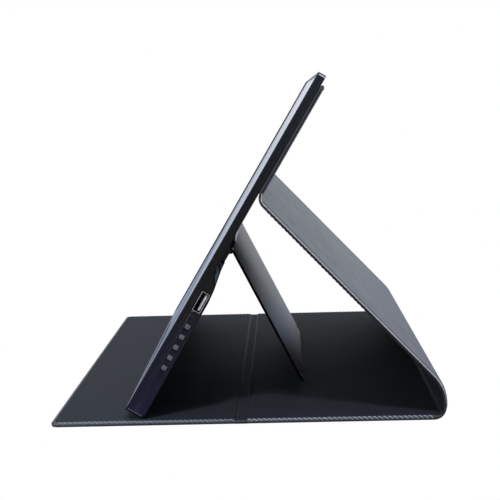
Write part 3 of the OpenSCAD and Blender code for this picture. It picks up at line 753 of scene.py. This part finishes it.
def cover_panel(name, stretch, body, lined=True):
    """A stiff panel: a leather shell around its board, and the lining inside its lip."""
    # The flat front and base panels take the lit copy of the edge leather, the raised ones the
    # shaded copy: painted light and shade
    mats = [leather_mat, lit_edge_mat if stretch in (FRONT, BASE) else shaded_edge_mat]
    shell = sweep(name + "_shell", stretch.stations(), stretch.shell_ring, mats, panel_zone)
    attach(dress(shell, name + "_leather"), body)
    if lined:
        stations = stretch.stations(LIP_W + SEAM)
        cloth = sweep(name + "_cloth", stations, stretch.lining_ring, [lining_mat])
        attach(dress(cloth, name + "_lining"), body)


FACE_EDGE = SLOPE_STEPS + 2


def panel_zone(i):
    """Material of each side of a panel's ring: the edge leather past the outer face's rounding,
    painted lit on flat panels and shaded on raised ones.
    """
    count = 2 * (SIDE_POINTS + 4)
    return 0 if i == count - 1 or min(i, count - 2 - i) < FACE_EDGE else 1


def soft_zone(i):
    """The same for a soft stretch, with the lining on its inner face."""
    count = 2 * (SIDE_POINTS + 1)
    if i == SIDE_POINTS:
        return 2
    return 0 if i == count - 1 or min(i, count - 2 - i) < FACE_EDGE else 1


def bend_along(piece, stretch):
    """Bakes a piece's placement into its mesh."""
    start, end = cover_point(0, stretch.start, 0), cover_point(0, stretch.end, 0)
    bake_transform(piece)


def soft_stretch(name, stretch, node):
    """A flexible stretch of the cover, in place of its CAD node."""
    # Soft stretches take the shaded copy of the edge leather: painted shade
    mats = [leather_mat, shaded_edge_mat, lining_mat]
    piece = sweep(name, stretch.stations(), stretch.soft_ring, mats, soft_zone)
    bend_along(dress(piece, node), stretch)


cover_panel("front", FRONT, "front_flap")
cover_panel("base", BASE, "base")
cover_panel("spine", SPINE, "spine")
cover_panel("back", BACK, "back_panel")
cover_panel("flap", FLAP, "monitor", lined=False)
soft_stretch("strip_leather", STRIP, "fold_strip")
soft_stretch("crease_leather", CREASE, "rear_crease")
soft_stretch("bend_leather", BEND, "spine_bend")
soft_stretch("fold_leather", FOLD, "top_fold")


# Stitches
STITCH_PITCH = 3.1 * MM
STITCH_R = 0.3 * MM
LIP_STITCH_R = 0.2 * MM
CROSS_STITCH_R = 0.24 * MM
STITCH_SIDES = 6
STITCH_RINGS = 7
END_GAP = 0.3 * MM
TUBE_SHARP = 60  # degrees


def tube(data, rings):
    """Faces around rings of vertices, closed at both ends."""
    for ring, following in zip(rings, rings[1:]):
        for i in range(len(ring)):
            j = (i + 1) % len(ring)
            data.faces.new((ring[i], ring[j], following[j], following[i]))
    data.faces.new(rings[0])
    data.faces.new(rings[-1])


def stitch(data, start, middle, end, r=STITCH_R, tip=0.5):
    """One stitch as a tube through three cover places (x, s, n), thinner at its two ends."""
    a, m, b = (cover_point(*place) for place in (start, middle, end))
    control = 2 * m - (a + b) / 2
    along = (b - a).normalized()
    lift = m - (a + b) / 2
    lift = (lift - lift.dot(along) * along).normalized()
    across = along.cross(lift)
    turns = [2 * math.pi * i / STITCH_SIDES for i in range(STITCH_SIDES)]
    spokes = [math.cos(u) * across + math.sin(u) * lift for u in turns]
    rings = []
    for k in range(STITCH_RINGS):
        t = k / (STITCH_RINGS - 1)
        centre = (1 - t) ** 2 * a + 2 * t * (1 - t) * control + t * t * b
        size = r * (tip + (1 - tip) * math.sin(math.pi * t))
        rings.append([data.verts.new(centre + size * spoke) for spoke in spokes])
    tube(data, rings)


def stitch_starts(stretch):
    """Where the stitches of a stretch start, and how far apart they are."""
    start = stretch.start + (CORNER_R if stretch.free_start else END_GAP)
    end = stretch.end - (CORNER_R if stretch.free_end else END_GAP)
    count = max(1, round((end - start) / STITCH_PITCH))
    pitch = (end - start) / count
    return [start + k * pitch for k in range(count)], pitch


WHIP_HIGH = 0.5 * MM
WHIP_LOW = 0.75 * MM
WHIP_FROM = 25 * MM
WHIP_OVER = 60 * MM


def whip_stitches(data, stretch, side):
    """Slanted stitches over the upper shoulder of a flat panel, longer towards the spine."""
    r = HALF_T * ROUNDNESS
    half = COVER_W / 2
    starts, pitch = stitch_starts(stretch)
    for s in starts:
        down = WHIP_HIGH - WHIP_LOW * smooth((s - BASE_START - WHIP_FROM) / WHIP_OVER)
        top = (side * (half - 1.1 * MM), s, stretch.high - 0.03 * MM)
        turn = (side * (half - 0.26 * r), s + 0.48 * pitch, stretch.high - 0.22 * r)
        foot = (side * (half - 0.03 * MM), s + 0.97 * pitch, down)
        stitch(data, top, turn, foot)


def shoulder_stitches(data, stretch, side):
    """A near unbroken line of thread along the outer shoulder of a raised panel."""
    starts, pitch = stitch_starts(stretch)
    x = side * (COVER_W / 2 - 0.32 * MM)
    for s in starts:
        n = stretch.low + stretch.thinned(s)
        stitch(data, (side * (COVER_W / 2 - 0.4 * MM), s - 0.06 * pitch, n + 0.1 * MM),
               (x, s + 0.48 * pitch, n + 0.12 * MM), (x, s + 1.02 * pitch, n + 0.22 * MM), tip=0.75)


def lip_stitches(data, stretch, side):
    """Stitches on the inner face, just inside the edge."""
    starts, pitch = stitch_starts(stretch)
    x = side * (COVER_W / 2 - 1.5 * MM)
    sunk, raised = stretch.high - 0.06 * MM, stretch.high + 0.08 * MM
    for s in starts:
        stitch(data, (x, s + 0.1 * pitch, sunk), (x, s + 0.48 * pitch, raised),
               (x, s + 0.86 * pitch, sunk), LIP_STITCH_R)


def cross_stitches(data, s, n, rise):
    """A straight seam across the cover at s; rise is 1 on the lining side, -1 outside."""
    half = COVER_W / 2 - CORNER_R
    count = round(2 * half / STITCH_PITCH)
    pitch = 2 * half / count
    sunk, raised = n - rise * 0.06 * MM, n + rise * 0.14 * MM
    for k in range(count):
        x = -half + k * pitch
        stitch(data, (x + 0.1 * pitch, s, sunk), (x + 0.48 * pitch, s, raised),
               (x + 0.86 * pitch, s, sunk), CROSS_STITCH_R)


FRONT_SEAM_IN = 1.2 * MM
FLAP_SEAM_IN = 1.9 * MM


def sew(name, stretch, kinds, body, other=None, mat=thread_mat):
    """Threads of one stretch: those kinds along both sides, and a seam at a free end."""
    data = bmesh.new()
    for side in (-1, 1):
        for kind in kinds:
            kind(data, stretch, side)
    if stretch is FRONT:
        cross_stitches(data, stretch.start + FRONT_SEAM_IN, stretch.high, 1)
    if stretch is FLAP:
        cross_stitches(data, stretch.end - FLAP_SEAM_IN, stretch.low, -1)
    piece = finish_mesh(name, data, [mat], TUBE_SHARP)
    if other:
        bend_along(piece, stretch)
    else:
        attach(piece, body)


# Shaded thread on the front flap, lit thread on the back panel's shoulders, and the darkest on its
# inner lip: painted light and shade
sew("front_thread", FRONT, [whip_stitches], "front_flap", mat=shaded_thread_mat)
sew("base_thread", BASE, [whip_stitches], "base")
sew("spine_thread", SPINE, [shoulder_stitches], "spine")
sew("bend_thread", BEND, [shoulder_stitches], "spine", "back_panel", mat=lit_thread_mat)
sew("back_thread", BACK, [shoulder_stitches], "back_panel", mat=lit_thread_mat)
sew("back_lip_thread", BACK, [lip_stitches], "back_panel", mat=deep_shade_thread_mat)
sew("fold_thread", FOLD, [shoulder_stitches], "back_panel", "monitor", mat=lit_thread_mat)
sew("flap_thread", FLAP, [], "monitor")


WELT_SIDES = 8
WELT_INSET = 0.9 * MM


def welt(name, s, n, r, mat):
    """A thin welt across the strip, where it is creased."""
    data = bmesh.new()
    half = COVER_W / 2 - WELT_INSET
    turns = [2 * math.pi * i / WELT_SIDES for i in range(WELT_SIDES)]
    around = [(s + r * math.cos(a), n + r * math.sin(a)) for a in turns]
    rings = []
    for x in (-half, half):
        rings.append([data.verts.new(cover_point(x, *place)) for place in around])
    tube(data, rings)
    piece = finish_mesh(name, data, [mat], TUBE_SHARP)
    bend_along(piece, STRIP)


CREASE_IN = 0.45 * MM
CREASE_RISE = 0.05 * MM
CREASE_WELT_R = 0.42 * MM
# The welts are dark, in the shaded edge leather and the darkest thread: painted crease shade along
# the strip
welt("strip_welt_front", STRIP.start + CREASE_IN, STRIP.high + CREASE_RISE, CREASE_WELT_R, shaded_edge_mat)
welt("strip_welt_light", STRIP.start + 1.5 * MM, STRIP.high - SMALL_STEP, 0.3 * MM, deep_shade_thread_mat)
welt("strip_welt_back", STRIP.end - CREASE_IN, STRIP.high + CREASE_RISE, CREASE_WELT_R, shaded_edge_mat)


# Painted highlight bars across the monitor's side edges, where the rounded edges catch light: light
# at the top, dark at the foot
EDGE_HIGHLIGHT_T = 0.6 * MM
BOX_FACES = ((0, 1, 3, 2), (4, 5, 7, 6), (0, 1, 5, 4), (2, 3, 7, 6), (0, 2, 6, 4), (1, 3, 7, 5))


def edge_highlight(name, side, height, tall, x_in, depths, mat):
    """A painted highlight bar across a side edge at that height, its face x_in inside the case's
    side.
    """
    data = bmesh.new()
    corners = []
    for x in (MON_W / 2 - x_in - EDGE_HIGHLIGHT_T, MON_W / 2 - x_in):
        for d in depths:
            for h in (height - tall / 2, height + tall / 2):
                corners.append(data.verts.new(on_monitor(side * x, d, h)))
    for quad in BOX_FACES:
        data.faces.new([corners[i] for i in quad])
    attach(finish_mesh(name, data, [mat]), "monitor")


top_depths = (0.3 * MM, CASE_D - 0.3 * MM)
foot_depths = (0.2 * MM, HEEL_D - 0.2 * MM)
for side, mark in ((1, "near"), (-1, "far")):
    # Painted highlights: near-white at the top edge, purple-grey at the foot
    edge_highlight("top_edge_highlight_" + mark, side, MON_H - 1.35 * MM, 0.45 * MM, 0.2 * MM, top_depths, top_edge_highlight_mat)
    edge_highlight("foot_edge_highlight_" + mark, side, 2.0 * MM, 0.9 * MM, 0.02 * MM, foot_depths, foot_edge_highlight_mat)


# CAD nodes: materials, and rounded edges where they show
FINISHES = (
    (board_mat, "front_board", "base_board", "spine_board", "back_board", "flap_board"),
    (casing_mat, "bezel_frame", "rear_case", "lower_housing"),
    (film_mat, "diffuser_films", "light_guide", "reflector_sheet"),
    (ribbon_mat, "light_strip", "link_cable", "panel_cable", "button_cable"),
    (circuit_mat, "main_board", "usb_board", "button_board"),
    (steel_mat, "case_screws", "board_screws", "hinge_pins"),
    (socket_mat, "usb_shell", "video_socket", "power_socket"),
    (bond_mat, "flap_bond"), (glass_mat, "front_glass"), (cell_mat, "display_cell"),
    (tray_mat, "display_tray"), (chip_mat, "board_chips"), (switch_mat, "button_switches"),
    (lens_mat, "status_light"), (block_mat, "hinge_block"), (kick_mat, "kickstand_plate"),
    (rubber_mat, "kickstand_pads"),
)
BEVELS = (
    ("rear_case", 0.35), ("bezel_frame", 0.2), ("lower_housing", 0.35), ("hinge_block", 0.4),
    ("kickstand_plate", 0.3), ("usb_shell", 0.08), ("front_glass", 0.12),
)
BUTTON_BEVEL = 0.45 * MM
TONGUE_BEVEL = 0.35 * MM
BUTTONS = 5


def paint(node, *mats):
    """Gives a CAD node those materials; the first is on its faces."""
    mesh = nodes[node].data
    mesh.materials.clear()
    for mat in mats:
        mesh.materials.append(mat)


SHARP_EDGE = math.radians(30)


def soften(node, width, rim=-1, clamp=True):
    """Merges a CAD node's flat triangles into faces, and rounds its edges.

    The rounding takes the material numbered `rim`, or its neighbours' where that is -1.
    """
    piece = nodes[node]
    weld = piece.modifiers.new("weld", "WELD")
    weld.merge_threshold = 0.001 * MM
    flat = piece.modifiers.new("flat", "DECIMATE")
    flat.decimate_type = "DISSOLVE"
    flat.angle_limit = math.radians(0.5)
    edge = piece.modifiers.new("edge", "BEVEL")
    edge.width = width
    edge.segments = 3
    edge.limit_method = "ANGLE"
    edge.angle_limit = SHARP_EDGE
    edge.harden_normals = True
    edge.use_clamp_overlap = clamp
    edge.material = rim
    piece.data.shade_smooth()
    piece.data.set_sharp_from_angle(angle=SHARP_EDGE)


for mat, *names in FINISHES:
    for name in names:
        paint(name, mat)
for name, width in BEVELS:
    soften(name, width * MM)
for i in range(1, BUTTONS + 1):
    # The cap's rounded rim takes a near-black colour: painted shade of the gap around the key
    paint(f"button_{i}", button_mat, button_rim_shade_mat)
    soften(f"button_{i}", BUTTON_BEVEL, rim=1, clamp=False)
paint("usb_tongue", tongue_mat, tongue_side_mat)
soften("usb_tongue", TONGUE_BEVEL, rim=1)


# Stage, lights and camera
FLOOR_R = 1.2


def shown_white(tree, lit):
    """Plain white to the camera, so that floor and backdrop run together; `lit` to the rest."""
    path = add(tree, "ShaderNodeLightPath")
    glow = add(tree, "ShaderNodeEmission", Strength=1.0)
    mix = add(tree, "ShaderNodeMixShader")
    tree.links.new(path.outputs["Is Camera Ray"], mix.inputs["Fac"])
    tree.links.new(lit, mix.inputs[1])
    tree.links.new(glow.outputs["Emission"], mix.inputs[2])
    return mix.outputs["Shader"]


def floor():
    """A round floor: as light, blue-grey under the far side and warm grey under the near one."""
    mat, tree, shader = new_material("floor")
    place = solid_map(tree)
    parts = add(tree, "ShaderNodeSeparateXYZ")
    tree.links.new(place, parts.inputs["Vector"])
    mottle = math_node(tree, "MULTIPLY", noise(tree, place, 3, 2), 0.05)
    tone = math_node(tree, "ADD", parts.outputs["X"], mottle)
    tree.links.new(ramp(tree, tone, (0.19, 0.24, 0.33, 1), (0.10, 0.095, 0.093, 1), 0, 0.3),
                   shader.inputs["Base Color"])
    shader.inputs["Roughness"].default_value = 0.9
    shown = shown_white(tree, shader.outputs["BSDF"])
    tree.links.new(shown, tree.nodes["Material Output"].inputs["Surface"])
    data = bmesh.new()
    bmesh.ops.create_circle(data, cap_ends=True, segments=96, radius=FLOOR_R)
    piece = finish_mesh("floor", data, [mat])


def area_light(name, at, target, size, power):
    """A square light, aimed at a point."""
    light = bpy.data.lights.new(name, "AREA")
    light.shape = "SQUARE"
    light.size = size
    light.energy = power
    lamp = bpy.data.objects.new(name, light)
    lamp.location = at
    lamp.rotation_euler = (Vector(target) - Vector(at)).to_track_quat("-Z", "Y").to_euler()
    bpy.context.scene.collection.objects.link(lamp)


def share_of(tree, way):
    """A direction's part along an axis, -1 to 1, as 0 to 1."""
    node = math_node(tree, "MULTIPLY_ADD", way, 0.5).node
    node.inputs[2].default_value = 0.5
    return node.outputs["Value"]


def studio_world():
    """White to the camera; as light, bright high up behind the far side, dim behind the near."""
    world = bpy.data.worlds.new("studio")
    world.use_nodes = True
    tree = world.node_tree
    way = add(tree, "ShaderNodeTexCoord")
    parts = add(tree, "ShaderNodeSeparateXYZ")
    tree.links.new(way.outputs["Generated"], parts.inputs["Vector"])
    near, beside, rise = (share_of(tree, parts.outputs[axis]) for axis in "XYZ")
    low = ramp(tree, beside, (0.19, 0.26, 0.40, 1), (0.36, 0.35, 0.35, 1), 0.46, 0.55)
    far_side = add(tree, "ShaderNodeMix", data_type="RGBA")
    tree.links.new(ramp(tree, rise, 0.0, 1.0, 0.43, 0.525), far_side.inputs[0])
    tree.links.new(low, far_side.inputs[6])
    far_side.inputs[7].default_value = (0.82, 0.87, 0.97, 1)
    near_side = ramp(tree, rise, (0.055, 0.055, 0.062, 1), (0.75, 0.8, 0.92, 1), 0.55, 0.8)
    mix = add(tree, "ShaderNodeMix", data_type="RGBA")
    tree.links.new(ramp(tree, near, 0.0, 1.0, 0.25, 0.75), mix.inputs[0])
    tree.links.new(far_side.outputs[2], mix.inputs[6])
    tree.links.new(near_side, mix.inputs[7])
    lit = tree.nodes["Background"]
    tree.links.new(mix.outputs[2], lit.inputs["Color"])
    shown = shown_white(tree, lit.outputs["Background"])
    tree.links.new(shown, tree.nodes["World Output"].inputs["Surface"])
    bpy.context.scene.world = world


def photo_camera():
    """The camera at the photographer's place."""
    lens = bpy.data.cameras.new("camera")
    lens.lens = CAMERA_LENS
    lens.sensor_width = 36
    lens.clip_start = 0.01
    camera = bpy.data.objects.new("camera", lens)
    turn = Matrix.Rotation(math.radians(CAMERA_HEADING), 4, "Z")
    tilt = Matrix.Rotation(math.radians(90 + CAMERA_PITCH), 4, "X")
    roll = Matrix.Rotation(math.radians(CAMERA_ROLL), 4, "Z")
    camera.matrix_world = Matrix.Translation(CAMERA_AT) @ turn @ tilt @ roll
    bpy.context.scene.collection.objects.link(camera)
    bpy.context.scene.camera = camera


floor()
studio_world()
area_light("key", (0.82, -0.04, 1.4), (0, 0, 0), 0.12, 16)
area_light("fill", (1.0, -0.8, 0.4), (0.1, 0.1, 0), 0.5, 9)
area_light("top", (-0.6, 0.3, 1.6), (0, 0, 0), 1.2, 5)
photo_camera()
bpy.context.scene.view_settings.view_transform = "Standard"
